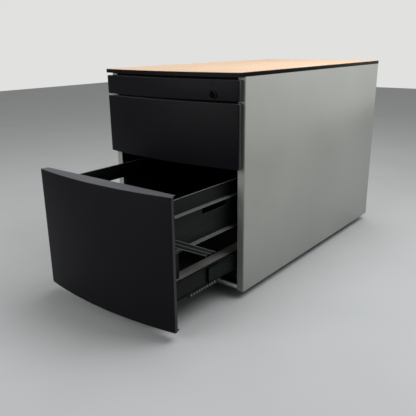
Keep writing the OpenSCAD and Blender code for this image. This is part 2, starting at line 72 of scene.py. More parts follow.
# Sizes that the fronts, the board and the slides share, in millimetres
CASE_FRONT_Y = -255.3
FRONT_Y = -39.4
FILE_OPEN = 232.0
FRONT_HALF = 213.0
BOW = 20.0
SHEET = 1.2
OVERHANG = 19.4
LOCK = (147.5, 500.5)
# Distances behind a member's front end: where its beads start, and the middle of its ball cages
BEAD_INSET = 11
CAGE_CENTRE = 200


# ---------------------------------------------------------------- colour and node helpers

def linear(hex_colour: str) -> tuple[float, float, float, float]:
    """Turn an sRGB hex colour into the linear values that Blender's sockets take.

    Args:
        hex_colour: Six hex digits, with or without a leading #.

    Returns:
        Linear red, green and blue, and an alpha of 1.
    """
    digits = hex_colour.lstrip("#")
    channels = [int(digits[i:i + 2], 16) / 255 for i in (0, 2, 4)]
    lit = [c / 12.92 if c <= 0.04045 else ((c + 0.055) / 1.055) ** 2.4 for c in channels]
    return lit[0], lit[1], lit[2], 1.0


def add(tree: bpy.types.NodeTree, kind: str, settings: dict | None = None,
        links: dict | None = None) -> bpy.types.Node:
    """Add one node with its settings and links.

    Args:
        tree: Node tree that the node joins.
        kind: Blender's class name of the node.
        settings: Values by name, for the node's own properties or its input sockets.
        links: Output sockets by the name or index of the input that each one feeds.

    Returns:
        The new node.
    """
    made = tree.nodes.new(kind)
    for name, value in (settings or {}).items():
        if isinstance(name, str) and hasattr(made, name):
            setattr(made, name, value)
        else:
            made.inputs[name].default_value = value
    for name, source in (links or {}).items():
        tree.links.new(source, made.inputs[name])
    return made


def ramp(tree: bpy.types.NodeTree, factor: bpy.types.NodeSocket,
         stops: list[tuple[float, str]]) -> bpy.types.NodeSocket:
    """Map a factor to colours.

    Args:
        tree: Node tree that the ramp joins.
        factor: Socket that gives the position along the ramp.
        stops: Positions with their sRGB hex colours, in rising order.

    Returns:
        The colour socket.
    """
    made = add(tree, "ShaderNodeValToRGB", links={"Fac": factor})
    elements = made.color_ramp.elements
    while len(elements) < len(stops):
        elements.new(0.5)
    for element, (position, colour) in zip(elements, stops):
        element.position = position
        element.color = linear(colour)
    return made.outputs["Color"]


def blank_material(name: str) -> tuple[bpy.types.Material, bpy.types.NodeTree, bpy.types.Node]:
    """Start a node material.

    Args:
        name: What the material is.

    Returns:
        The material, its node tree and its shader node, already linked to the output.
    """
    material = bpy.data.materials.new(name)
    material.use_nodes = True
    tree = material.node_tree
    tree.nodes.clear()
    shader = add(tree, "ShaderNodeBsdfPrincipled")
    add(tree, "ShaderNodeOutputMaterial", links={"Surface": shader.outputs["BSDF"]})
    return material, tree, shader


# ---------------------------------------------------------------- finishes

@dataclass(frozen=True)
class PowderCoat:
    """Powder-coated steel: sprayed as dust and baked, which leaves a faint orange peel."""

    name: str
    colour: str
    shade: str
    roughness: float
    ior: float = 1.5
    peel_mm: float = 2.4
    peel_depth: float = 0.06
    scuff: str = ""
    # Colour of the painted light from above on upward faces; none when empty
    painted_top_light: str = ""
    coat: float = 0.0

    def material(self) -> bpy.types.Material:
        """Build the finish.

        Returns:
            A material whose tone drifts slightly over the sheet, with a finely dimpled skin and,
            where their colours are given, sparse small rub marks and painted light on upward faces.
        """
        material, tree, shader = blank_material(self.name)
        place = add(tree, "ShaderNodeTexCoord").outputs["Object"]
        drift = add(tree, "ShaderNodeTexNoise", {"Scale": 1 / (260 * MM), "Detail": 3.0},
                    {"Vector": place})
        tone = ramp(tree, drift.outputs["Fac"], [(0.35, self.shade), (0.65, self.colour)])
        if self.scuff:
            tone = self.scuffed(tree, place, tone)
        if self.painted_top_light:
            tone = self.paint_top_light(tree, drift.outputs["Fac"], tone)
        tree.links.new(tone, shader.inputs["Base Color"])
        peel = add(tree, "ShaderNodeTexNoise", {"Scale": 1 / (self.peel_mm * MM), "Detail": 1.0},
                   {"Vector": place})
        gloss = add(tree, "ShaderNodeMapRange", {"To Min": self.roughness - 0.03,
                                                 "To Max": self.roughness + 0.04},
                    {"Value": drift.outputs["Fac"]})
        tree.links.new(gloss.outputs["Result"], shader.inputs["Roughness"])
        bump = add(tree, "ShaderNodeBump", {"Strength": self.peel_depth, "Distance": 0.2 * MM},
                   {"Height": peel.outputs["Fac"]})
        tree.links.new(bump.outputs["Normal"], shader.inputs["Normal"])
        shader.inputs["IOR"].default_value = self.ior
        shader.inputs["Coat Weight"].default_value = self.coat
        shader.inputs["Coat Roughness"].default_value = 0.15
        return material

    def scuffed(self, tree: bpy.types.NodeTree, place: bpy.types.NodeSocket,
                tone: bpy.types.NodeSocket) -> bpy.types.NodeSocket:
        """Lay sparse rub marks of 3 to 8 mm over the tone.

        Args:
            tree: Node tree of the material.
            place: Object coordinates.
            tone: Colour of the clean coat.

        Returns:
            The colour with the marks in it.
        """
        where = add(tree, "ShaderNodeTexNoise", {"Scale": 1 / (120 * MM), "Detail": 2.0},
                    {"Vector": place})
        mark = add(tree, "ShaderNodeTexNoise", {"Scale": 1 / (6 * MM), "Detail": 4.0},
                   {"Vector": place})
        both = add(tree, "ShaderNodeMath", {"operation": "MULTIPLY"},
                   {0: where.outputs["Fac"], 1: mark.outputs["Fac"]})
        mask = add(tree, "ShaderNodeMapRange", {"From Min": 0.40, "From Max": 0.47,
                                                "To Min": 0.0, "To Max": 0.6},
                   {"Value": both.outputs["Value"]})
        mixed = add(tree, "ShaderNodeMix", {"data_type": "RGBA"}, {0: mask.outputs["Result"], 6: tone})
        mixed.inputs[7].default_value = linear(self.scuff)
        return mixed.outputs[2]

    def paint_top_light(self, tree: bpy.types.NodeTree, patches: bpy.types.NodeSocket,
               tone: bpy.types.NodeSocket) -> bpy.types.NodeSocket:
        """Paint a lighter colour on the faces that look up: painted light from above.

        Args:
            tree: Node tree of the material.
            patches: Soft noise that makes the painted light uneven.
            tone: Colour of the clean coat.

        Returns:
            The colour with the painted light on it.
        """
        facing = add(tree, "ShaderNodeNewGeometry").outputs["Normal"]
        up = add(tree, "ShaderNodeSeparateXYZ", links={0: facing}).outputs["Z"]
        faces_up = add(tree, "ShaderNodeMapRange", {"From Min": 0.55, "From Max": 0.95}, {"Value": up})
        uneven = add(tree, "ShaderNodeMapRange", {"From Min": 0.3, "From Max": 0.7,
                                                  "To Min": 0.7, "To Max": 1.0}, {"Value": patches})
        share = add(tree, "ShaderNodeMath", {"operation": "MULTIPLY"},
                    {0: faces_up.outputs["Result"], 1: uneven.outputs["Result"]})
        mixed = add(tree, "ShaderNodeMix", {"data_type": "RGBA"}, {0: share.outputs["Value"], 6: tone})
        mixed.inputs[7].default_value = linear(self.painted_top_light)
        return mixed.outputs[2]


@dataclass(frozen=True)
class WoodLaminate:
    """Beech-decor high-pressure laminate: printed grain under a matt melamine skin."""

    name: str = "beech-decor laminate"
    light: str = "D5BCA6"
    dark: str = "C9AE92"
    fleck: str = "B08F72"
    grain_mm: float = 9.0
    roughness: float = 0.5

    def material(self) -> bpy.types.Material:
        """Build the finish.

        Returns:
            A material with long grain along Y, soft cathedral drift and short dark flecks.
        """
        material, tree, shader = blank_material(self.name)
        place = add(tree, "ShaderNodeTexCoord").outputs["Object"]
        along = add(tree, "ShaderNodeMapping", {"Scale": (1.0, 0.06, 1.0)}, {"Vector": place})
        bend = add(tree, "ShaderNodeTexNoise", {"Scale": 1 / (180 * MM), "Detail": 2.0},
                   {"Vector": along.outputs["Vector"]})
        grain = add(tree, "ShaderNodeTexNoise", {"Scale": 1 / (self.grain_mm * MM), "Detail": 6.0,
                                                 "Roughness": 0.62},
                    {"Vector": along.outputs["Vector"]})
        mixed = add(tree, "ShaderNodeMath", {"operation": "MULTIPLY_ADD", 1: 0.45},
                    {0: bend.outputs["Fac"], 2: grain.outputs["Fac"]})
        board = ramp(tree, mixed.outputs["Value"], [(0.55, self.dark), (0.85, self.light)])
        short = add(tree, "ShaderNodeMapping", {"Scale": (1.0, 0.12, 1.0)}, {"Vector": place})
        specks = add(tree, "ShaderNodeTexVoronoi", {"Scale": 1 / (2.2 * MM), "Randomness": 1.0},
                     {"Vector": short.outputs["Vector"]})
        mask = add(tree, "ShaderNodeMapRange", {"From Min": 0.05, "From Max": 0.22,
                                                "To Min": 0.4, "To Max": 0.0},
                   {"Value": specks.outputs["Distance"]})
        tint = add(tree, "ShaderNodeMix", {"data_type": "RGBA"},
                   {0: mask.outputs["Result"], 6: board})
        tint.inputs[7].default_value = linear(self.fleck)
        tree.links.new(tint.outputs[2], shader.inputs["Base Color"])
        bump = add(tree, "ShaderNodeBump", {"Strength": 0.08, "Distance": 0.1 * MM},
                   {"Height": grain.outputs["Fac"]})
        tree.links.new(bump.outputs["Normal"], shader.inputs["Normal"])
        shader.inputs["Roughness"].default_value = self.roughness
        # Dead matt, so that the bright sky does not wash the printed grain out
        shader.inputs["Specular IOR Level"].default_value = 0.0
        return material


@dataclass(frozen=True)
class Metal:
    """Bare or plated metal, rolled or drawn along Y, with a fine lengthwise brush."""

    name: str
    colour: str
    shade: str
    roughness: float
    streak_mm: float = 0.8
    metallic: float = 1.0

    def material(self) -> bpy.types.Material:
        """Build the finish.

        Returns:
            A metal whose tone and gloss vary in fine streaks along the rolling direction.
        """
        material, tree, shader = blank_material(self.name)
        place = add(tree, "ShaderNodeTexCoord").outputs["Object"]
        along = add(tree, "ShaderNodeMapping", {"Scale": (1.0, 0.03, 1.0)}, {"Vector": place})
        streak = add(tree, "ShaderNodeTexNoise", {"Scale": 1 / (self.streak_mm * MM), "Detail": 3.0},
                     {"Vector": along.outputs["Vector"]})
        cloud = add(tree, "ShaderNodeTexNoise", {"Scale": 1 / (35 * MM), "Detail": 4.0},
                    {"Vector": place})
        both = add(tree, "ShaderNodeMath", {"operation": "MULTIPLY"},
                   {0: streak.outputs["Fac"], 1: cloud.outputs["Fac"]})
        tone = ramp(tree, both.outputs["Value"], [(0.15, self.shade), (0.4, self.colour)])
        tree.links.new(tone, shader.inputs["Base Color"])
        gloss = add(tree, "ShaderNodeMapRange", {"To Min": self.roughness - 0.06,
                                                 "To Max": self.roughness + 0.1},
                    {"Value": streak.outputs["Fac"]})
        tree.links.new(gloss.outputs["Result"], shader.inputs["Roughness"])
        bump = add(tree, "ShaderNodeBump", {"Strength": 0.05, "Distance": 0.1 * MM},
                   {"Height": streak.outputs["Fac"]})
        tree.links.new(bump.outputs["Normal"], shader.inputs["Normal"])
        shader.inputs["Metallic"].default_value = self.metallic
        return material


@dataclass(frozen=True)
class MouldedPlastic:
    """Injection-moulded plastic with the fine spark-eroded texture of its tool."""

    name: str
    colour: str
    roughness: float
    grit_mm: float = 1.1
    ior: float = 1.5

    def material(self) -> bpy.types.Material:
        """Build the finish.

        Returns:
            A dull plastic with a fine leathery pebble, drawn a little coarser than life to show.
        """
        material, tree, shader = blank_material(self.name)
        place = add(tree, "ShaderNodeTexCoord").outputs["Object"]
        grit = add(tree, "ShaderNodeTexVoronoi", {"Scale": 1 / (self.grit_mm * MM)}, {"Vector": place})
        bump = add(tree, "ShaderNodeBump", {"Strength": 0.15, "Distance": 0.15 * MM},
                   {"Height": grit.outputs["Distance"]})
        tree.links.new(bump.outputs["Normal"], shader.inputs["Normal"])
        cloud = add(tree, "ShaderNodeTexNoise", {"Scale": 1 / (40 * MM)}, {"Vector": place})
        gloss = add(tree, "ShaderNodeMapRange", {"To Min": self.roughness - 0.05,
                                                 "To Max": self.roughness + 0.05},
                    {"Value": cloud.outputs["Fac"]})
        tree.links.new(gloss.outputs["Result"], shader.inputs["Roughness"])
        shader.inputs["Base Color"].default_value = linear(self.colour)
        shader.inputs["IOR"].default_value = self.ior
        return material


# In the dark coats, an IOR below 1.5 is a setting and not a property of paint: it holds back
# the pale floor's reflection, so that they stay black.
# Front coat: near black, with just enough gloss to whiten where it is seen along the sheet,
# and painted light from above on its upward faces
BLACK_COAT = PowderCoat("black powder coat steel", "131316", "101013", 0.42, ior=1.15,
                        painted_top_light="57585D")
# Side returns of the fronts: the coat set lighter and glossier, a painted reflection
# that draws a grey line beside each front
LIT_RETURN_COAT = PowderCoat("black powder coat return with painted reflection", "17171A", "141417", 0.36, ior=1.5)
# Side coat: silver grey, smooth and slightly glossy, with a few rub marks
GREY_COAT = PowderCoat("silver-grey powder coat steel", "9B9E98", "949791", 0.3, coat=0.1,
                       scuff="85877F")
# Drawer inside: thin dark stove enamel that swallows the light
INNER_COAT = PowderCoat("anthracite stove enamel steel", "1B1D1D", "171919", 0.4, ior=1.2)
# Drawer sides: the same enamel, with a lighter tone on the ledges: painted light from above on their
# upward faces
LEDGE_COAT = PowderCoat("anthracite stove enamel steel with painted top light", "161818", "131515", 0.42, ior=1.2,
                        painted_top_light="646665")
# Lower rails of the file drawer: bare phosphated steel, a step lighter than the enamel,
# with painted light from above on their tops
PHOSPHATE = PowderCoat("phosphated steel", "343534", "2E2F2E", 0.45, ior=1.3, painted_top_light="6A6966")
# Board edge: phenolic core, dark brown-black and matt where the saw cut it
BLACK_CORE = MouldedPlastic("black compact laminate core", "100E0D", 0.42, ior=1.15)
BEECH = WoodLaminate()
# Screws, latch and lock works: bright and faintly bluish
ZINC = Metal("bright zinc-plated steel", "C3C7CC", "A4A9B0", 0.32)
# Slides in the case: greyer and duller than the screws, streaked along the rolling direction
SLIDE_STEEL = Metal("dull zinc-plated slide steel", "8E9194", "76797C", 0.38)
# Slides of the file drawer: blackened, so that they read as dark as the frame
BLACK_SLIDE = PowderCoat("black-dipped slide steel", "101212", "0D0F0F", 0.42, ior=1.2,
                         peel_depth=0.02)
RAIL = Metal("satin anodised aluminium", "D8DADC", "C4C7CA", 0.28, streak_mm=0.6)
BLACK_NICKEL = Metal("black nickel die-cast", "2E2E31", "1E1E20", 0.28, streak_mm=0.5)
# Lock plug: the same plating, set darker and duller, painted shade
# that makes it the dark middle of the lock
SHADED_NICKEL = Metal("black nickel die-cast with painted shade", "0A0A0B", "060607", 0.5, streak_mm=0.2)
# Rims of the stays: the enamel set lighter, a painted highlight that draws thin pale lines along them
RIM_HIGHLIGHT_COAT = PowderCoat("enamel rim with painted highlight", "525453", "484A49", 0.4, ior=1.35, peel_depth=0.02)
IRON = PowderCoat("black-painted cast iron", "2A2A2B", "202021", 0.6, peel_mm=3.0, peel_depth=0.3)
ABS = MouldedPlastic("black ABS", "141416", 0.5)
NYLON = MouldedPlastic("black nylon wheel tread", "1A1A1C", 0.42, grit_mm=0.8)
FLOOR = PowderCoat("pale studio floor", "B1B3B4", "AEB0B1", 0.8, peel_mm=6.0, peel_depth=0.02)


# ---------------------------------------------------------------- mesh helpers

def bake(piece: bpy.types.Object, sharp_deg: float = 35.0) -> None:
    """Turn a piece's modifiers into its mesh, shaded smooth between sharp edges.

    Args:
        piece: The object, which keeps its name and its materials.
        sharp_deg: Angle from which an edge stays sharp.
    """
    bpy.context.view_layer.update()
    made = piece.evaluated_get(bpy.context.evaluated_depsgraph_get())
    mesh = bpy.data.meshes.new_from_object(made)
    piece.modifiers.clear()
    piece.data = mesh
    mesh.shade_smooth()
    mesh.set_sharp_from_angle(angle=math.radians(sharp_deg))


def from_bmesh(name: str, shape: bmesh.types.BMesh) -> bpy.types.Object:
    """Make an object in the scene from a bmesh, which is freed.

    Args:
        name: Name of the object.
        shape: Its shape, in metres.

    Returns:
        The new object.
    """
    mesh = bpy.data.meshes.new(name)
    shape.to_mesh(mesh)
    shape.free()
    piece = bpy.data.objects.new(name, mesh)
    bpy.context.scene.collection.objects.link(piece)
    return piece


def round_edges(piece: bpy.types.Object, width_mm: float, segments: int = 2,
                from_deg: float = 30.0) -> None:
    """Round the sharp edges of a piece and keep its flat faces flat in the light.

    Args:
        piece: The object.
        width_mm: How far the rounding reaches from each edge.
        segments: Steps in the rounding.
        from_deg: Angle from which an edge is rounded.
    """
    bevel = piece.modifiers.new("rounded", "BEVEL")
    bevel.width = width_mm * MM
    bevel.segments = segments
    bevel.limit_method = "ANGLE"
    bevel.angle_limit = math.radians(from_deg)
    bevel.use_clamp_overlap = True
    even = piece.modifiers.new("even", "WEIGHTED_NORMAL")
    even.keep_sharp = True


def lathe(shape: bmesh.types.BMesh, profile: list[tuple[float, float]], centre: Vector,
          axis: Vector, steps: int = 48) -> None:
    """Turn a profile round an axis.

    Args:
        shape: Bmesh that gains the turned faces.
        profile: Radius and distance along the axis of each point, in millimetres.
        centre: Point on the axis that the distances start from, in metres.
        axis: Direction of the axis.
        steps: Faces round the axis.
    """
    turn = axis.to_track_quat("Z", "Y").to_matrix()
    rings = []
    for radius, along in profile:
        ring = []
        for k in range(steps):
            angle = 2 * math.pi * k / steps
            spot = Vector((radius * math.cos(angle), radius * math.sin(angle), along)) * MM
            ring.append(shape.verts.new(centre + turn @ spot))
        rings.append(ring)
    for low, high in zip(rings, rings[1:]):
        for k in range(steps):
            near = (k + 1) % steps
            shape.faces.new((low[k], low[near], high[near], high[k]))


# ---------------------------------------------------------------- sub-assemblies

class Carrier(Enum):
    """What a front and its fittings ride on."""

    TRAY = "tray_drawer"
    MIDDLE = "middle_drawer"
    FILE = "file_drawer"


@dataclass
class WorkedNodes:
    """CAD nodes as they leave the shop: deburred sheet, broken board edges, moulded radii."""

    frame: dict
    finish: PowderCoat | WoodLaminate | Metal | MouldedPlastic
    nodes: list[str]
    edge_mm: float
    segments: int = 2

    def build(self) -> None:
        """Copy each node with rounded edges, keep it in the node's own box and dress it."""
        material = self.finish.material()
        homes = self.frame["record"]["behaviour"]["bodies"]
        for node in self.nodes:
            shape = bmesh.new()
            shape.from_mesh(self.frame["nodes"][node].data)
            bmesh.ops.remove_doubles(shape, verts=shape.verts, dist=1e-6)
            bmesh.ops.dissolve_limit(shape, angle_limit=math.radians(0.25), verts=shape.verts,
                                     edges=shape.edges)
            piece = from_bmesh(node + "_worked", shape)
            piece.data.materials.append(material)
            spots = [v.co.copy() for v in piece.data.vertices]
            round_edges(piece, self.edge_mm, self.segments)
            bake(piece)
            low = [min(c[axis] for c in spots) for axis in range(3)]
            high = [max(c[axis] for c in spots) for axis in range(3)]
            for v in piece.data.vertices:
                v.co = [min(max(v.co[axis], low[axis]), high[axis]) for axis in range(3)]
            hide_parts(node)
            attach(piece, next(body for body, members in homes.items() if node in members))
        LOG.info("%s: %s", self.finish.name, ", ".join(self.nodes))


@dataclass
class BowedFront:
    """A drawer front: a bowed steel pan with rolled edges, short side returns and deep flanges."""

    name: str
    rides: Carrier
    low: float
    high: float
    hat_x: float
    y0: float = CASE_FRONT_Y
    roll: float = 1.9
    side_return: float = 8.0
    flange_half: float = 209.0
    clear: float = 0.8
    hat_width: float = 30.0
    hat_front: float = FRONT_Y + 3
    hat_roll: float = 1.5
    lock_hole: float = 0.0

    def arc_y(self, x: float) -> float:
        """Give the depth of the bowed skin at one distance from the middle.

        Args:
            x: Distance from the middle, in millimetres.

        Returns:
            Distance behind the case's front plane, in millimetres.
        """
        radius = (FRONT_HALF ** 2 + BOW ** 2) / (2 * BOW)
        return FRONT_Y + radius - math.sqrt(radius ** 2 - x ** 2)

    def at(self, x: float, y: float, z: float) -> Vector:
        """Turn millimetres from the case's front plane into the frame's metres."""
        return Vector((x, y + self.y0, z)) * MM

    def pan(self) -> bpy.types.Object:
        """Fold the pan.

        Returns:
            The pan, with rolled edges and the sheet's thickness.
        """
        steps = 48
        arc = [(FRONT_HALF * (2 * k / steps - 1)) for k in range(steps + 1)]
        back = self.side_return - OVERHANG
        skin = [(-FRONT_HALF, back)] + [(x, self.arc_y(x)) for x in arc] + [(FRONT_HALF, back)]
        rest = [(self.flange_half, back), (self.flange_half, -self.clear),
                (-self.flange_half, -self.clear), (-self.flange_half, back)]
        shape = bmesh.new()
        levels = []
        for z in (self.low, self.high):
            row = [shape.verts.new(self.at(x, y, z)) for x, y in skin]
            tail = [shape.verts.new(self.at(x, y, z)) for x, y in rest]
            shape.faces.new(row + tail)
            levels.append(row)
        for k in range(len(skin) - 1):
            shape.faces.new((levels[0][k], levels[0][k + 1], levels[1][k + 1], levels[1][k]))
        bmesh.ops.recalc_face_normals(shape, faces=shape.faces)
        front = next(f for f in shape.faces
                     if len(f.verts) == 4 and abs(f.calc_center_median().x) < 10 * MM)
        if front.normal.y > 0:
            bmesh.ops.reverse_faces(shape, faces=shape.faces)
        piece = from_bmesh(self.name + "_pan", shape)
        rolled = piece.modifiers.new("rolled", "BEVEL")
        rolled.width = self.roll * MM
        rolled.segments = 4
        rolled.limit_method = "ANGLE"
        rolled.angle_limit = math.radians(40)
        skin_sheet = piece.modifiers.new("sheet", "SOLIDIFY")
        skin_sheet.thickness = SHEET * MM
        skin_sheet.offset = -1.0
        if self.lock_hole:
            self.bore(piece)
        piece.modifiers.new("even", "WEIGHTED_NORMAL").keep_sharp = True
        bake(piece, 40.0)
        return piece

    def bore(self, piece: bpy.types.Object) -> None:
        """Drill the hole of the lock through the pan.

        Args:
            piece: The pan, whose modifiers gain the cut.
        """
        drill = bmesh.new()
        centre = self.at(LOCK[0], FRONT_Y - 5, LOCK[1])
        turn = Matrix.Rotation(math.radians(90), 4, "X")
        bmesh.ops.create_cone(drill, cap_ends=True, segments=64, radius1=self.lock_hole * MM,
                              radius2=self.lock_hole * MM, depth=40 * MM,
                              matrix=Matrix.Translation(centre) @ turn)
        cutter = from_bmesh(self.name + "_drill", drill)
        cut = piece.modifiers.new("bore", "BOOLEAN")
        cut.operation = "DIFFERENCE"
        cut.object = cutter
        cut.solver = "EXACT"
        bpy.context.view_layer.update()
        made = piece.evaluated_get(bpy.context.evaluated_depsgraph_get())
        mesh = bpy.data.meshes.new_from_object(made)
        piece.modifiers.clear()
        piece.data = mesh
        bpy.data.objects.remove(cutter)

    def hats(self) -> bpy.types.Object:
        """Fold the two upright hat sections that the drawer is screwed to.

        Returns:
            Both hats as one piece, welded inside the pan.
        """
        shape = bmesh.new()
        half = self.hat_width / 2
        for side in (-1, 1):
            x = side * self.hat_x
            path = [(x - half, self.hat_front), (x - half, -self.clear - SHEET / 2),
                    (x + half, -self.clear - SHEET / 2), (x + half, self.hat_front)]
            path = [(px, max(py, self.arc_y(px) + SHEET)) for px, py in path]
            rows = [[shape.verts.new(self.at(px, py, z)) for px, py in path]
                    for z in (self.low + SHEET, self.high - SHEET)]
            for k in range(3):
                shape.faces.new((rows[0][k], rows[0][k + 1], rows[1][k + 1], rows[1][k]))
        piece = from_bmesh(self.name + "_hats", shape)
        rolled = piece.modifiers.new("rolled", "BEVEL")
        rolled.width = self.hat_roll * MM
        rolled.segments = 3
        rolled.limit_method = "ANGLE"
        rolled.angle_limit = math.radians(40)
        wall = piece.modifiers.new("sheet", "SOLIDIFY")
        wall.thickness = SHEET * MM
        wall.offset = 0.0
        bake(piece, 40.0)
        return piece

    def build(self) -> None:
        """Make the pan and its hats, dress them and hang them on the drawer."""
        material = BLACK_COAT.material()
        pan, hats = self.pan(), self.hats()
        for piece in (pan, hats):
            piece.data.materials.clear()
            piece.data.materials.append(material)
            piece.data.materials.append(LIT_RETURN_COAT.material())
            for face in piece.data.polygons:
                # Faces that look sideways take the lighter copy: the painted reflection along the
                # returns
                face.material_index = int(abs(face.normal.x) > 0.8)
            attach(piece, self.rides.value)
        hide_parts(self.name)
        LOG.info("%s: pan and hats", self.name)


@dataclass
class LockFace:
    """The lock in the tray's front: a dished rim, a plug with a key slot, both black nickel."""

    rim_radius: float = 10.2
    plug_radius: float = 6.95
    rim_y: float = FRONT_Y + 7.2
    plug_y: float = FRONT_Y + 8.6
    slot_half: tuple[float, float] = (0.75, 4.2)

    def build(self) -> None:
        """Make the rim and the plug."""
        centre = Vector((LOCK[0], CASE_FRONT_Y, LOCK[1])) * MM
        back = Vector((0.0, 1.0, 0.0))
        rim = bmesh.new()
        face = self.rim_y
        lathe(rim, [(8.9, 3.6), (8.9, face + 5.0), (10.1, face + 2.6), (self.rim_radius, face + 0.9),
                    (self.rim_radius - 0.3, face + 0.3), (self.rim_radius - 1.0, face),
                    (8.9, face + 0.05), (8.5, face + 0.3), (7.3, face + 1.3), (7.02, face + 1.7),
                    (7.02, 3.6), (8.9, 3.6)], centre, back)
        bmesh.ops.remove_doubles(rim, verts=rim.verts, dist=1e-7)
        bmesh.ops.recalc_face_normals(rim, faces=rim.faces)
        rim_piece = from_bmesh("lock_rim", rim)
        rim_piece.data.shade_smooth()
        rim_piece.data.set_sharp_from_angle(angle=math.radians(50))
        plug = bmesh.new()
        front = self.plug_y
        wide, tall = self.slot_half
        lathe(plug, [(self.plug_radius, 3.9), (self.plug_radius, front + 0.4),
                     (self.plug_radius - 0.4, front), (tall + 0.9, front)], centre, back, 64)
        self.slotted_face(plug, centre, front, wide, tall)
        bmesh.ops.remove_doubles(plug, verts=plug.verts, dist=1e-7)
        bmesh.ops.recalc_face_normals(plug, faces=plug.faces)
        plug_piece = from_bmesh("lock_plug_face", plug)
        plug_piece.data.shade_smooth()
        plug_piece.data.set_sharp_from_angle(angle=math.radians(30))
        for piece, body, node, finish in ((rim_piece, "tray_drawer", "lock_barrel", BLACK_NICKEL),
                                          (plug_piece, "lock_plug", "lock_core", SHADED_NICKEL)):
            piece.data.materials.append(finish.material())
            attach(piece, body)
            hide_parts(node)
        LOG.info("lock: rim and plug")

    def slotted_face(self, plug: bmesh.types.BMesh, centre: Vector, front: float, wide: float,
                     tall: float) -> None:
        """Close the plug's face round a deep key slot.

        Args:
            plug: Bmesh that gains the face and the slot's walls.
            centre: The lock's centre in the case's front plane, in metres.
            front: Distance of the face behind that plane, in millimetres.
            wide: Half the slot's width.
            tall: Half the slot's height.
        """
        ring = [v for v in plug.verts
                if abs((v.co - centre).y / MM - front) < 1e-3
                and math.hypot((v.co - centre).x, (v.co - centre).z) / MM < tall + 1.0]
        ring.sort(key=lambda v: math.atan2((v.co - centre).z, (v.co - centre).x))
        count = len(ring)
        edge, floor = [], []
        for v in ring:
            x, z = (v.co - centre).x / MM, (v.co - centre).z / MM
            grow = min(wide / abs(x) if abs(x) > 1e-6 else 1e9, tall / abs(z) if abs(z) > 1e-6 else 1e9)
            spot = Vector((x * grow, front, z * grow)) * MM
            edge.append(plug.verts.new(centre + spot))
            floor.append(plug.verts.new(centre + spot + Vector((0.0, 9.0, 0.0)) * MM))
        for k in range(count):
            near = (k + 1) % count
            plug.faces.new((ring[k], ring[near], edge[near], edge[k]))
            plug.faces.new((edge[k], edge[near], floor[near], floor[k]))
        plug.faces.new(floor)


@dataclass
class BallCages:
    """Ball cages of one drawer's slides: thin strips that hold rows of steel balls in the races."""

    name: str
    body: str
    centre_y: float
    low_z: float
    length: float = 300.0
    ball_radius: float = 1.15
    pitch: float = 9.5
    race_x: float = 186.4
    height: float = 45.0
    race_inset: float = 2.75
    strip_thick: float = 0.5

    def build(self) -> None:
        """Make the strips and the balls of both sides, above and below."""
        strips, balls = bmesh.new(), bmesh.new()
        rows = int(self.length / self.pitch)
        start = self.centre_y - self.length / 2
        for side in (-1, 1):
            for z in (self.low_z + self.race_inset, self.low_z + self.height - self.race_inset):
                x = side * self.race_x
                self.strip(strips, x, z, start)
                for k in range(rows):
                    spot = Vector((x, start + (k + 0.5) * self.pitch, z)) * MM
                    bmesh.ops.create_uvsphere(balls, u_segments=10, v_segments=6,
                                              radius=self.ball_radius * MM,
                                              matrix=Matrix.Translation(spot))
        for piece, finish in ((from_bmesh(self.name + "_cages", strips), SLIDE_STEEL),
                              (from_bmesh(self.name + "_balls", balls), ZINC)):
            piece.data.shade_smooth()
            piece.data.set_sharp_from_angle(angle=math.radians(40))
            piece.data.materials.append(finish.material())
            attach(piece, self.body)
        LOG.info("%s: cages and %d balls", self.name, rows * 4)

    def strip(self, shape: bmesh.types.BMesh, x: float, z: float, start: float) -> None:
        """Add one cage strip with a window round each ball.

        Args:
            shape: Bmesh that gains the strip.
            x: Middle of the strip.
            z: Height of the strip.
            start: Front end of the strip.
        """
        half, bar, window = 2.1, 0.55, self.pitch / 2 - 0.9
        rows = int(self.length / self.pitch)
        spans = [(x - half, x - half + bar, start, start + rows * self.pitch),
                 (x + half - bar, x + half, start, start + rows * self.pitch)]
        for k in range(rows + 1):
            y = start + k * self.pitch
            spans.append((x - half, x + half, y - self.pitch / 2 + window, y + self.pitch / 2 - window))
        for x0, x1, y0, y1 in spans:
            centre = Vector(((x0 + x1) / 2, (y0 + y1) / 2, z)) * MM
            size = Matrix.Diagonal(Vector(((x1 - x0) * MM, (y1 - y0) * MM, self.strip_thick * MM, 1.0)))
            bmesh.ops.create_cube(shape, size=1.0, matrix=Matrix.Translation(centre) @ size)


@dataclass
class SlideBeads:
    """Long beads rolled into the webs of one pair of slide members, which stiffen them."""

    name: str
    body: str
    web_x: float
    start: float
    heights: tuple[float, ...] = (84.5, 91.5, 98.0, 104.5, 111.5)
    radius: float = 0.8
    length: float = 698.0
    steps: int = 6

    def build(self) -> None:
        """Make the half-round beads of both sides."""
        shape = bmesh.new()
        for side in (-1, 1):
            for z in self.heights:
                rows = []
                for y in (self.start, self.start + self.length):
                    row = []
                    for k in range(self.steps + 1):
                        turn = math.pi * k / self.steps
                        x = side * (self.web_x + self.radius * math.sin(turn))
                        up = z + self.radius * math.cos(turn)
                        row.append(shape.verts.new(Vector((x, y, up)) * MM))
                    rows.append(row)
                for k in range(self.steps):
                    shape.faces.new((rows[0][k], rows[0][k + 1], rows[1][k + 1], rows[1][k]))
                for row in rows:
                    shape.faces.new(row)
        bmesh.ops.recalc_face_normals(shape, faces=shape.faces)
        piece = from_bmesh(self.name, shape)
        piece.data.shade_smooth()
        piece.data.set_sharp_from_angle(angle=math.radians(40))
        piece.data.materials.append(BLACK_SLIDE.material())
        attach(piece, self.body)
        LOG.info("%s: %d beads", self.name, 2 * len(self.heights))


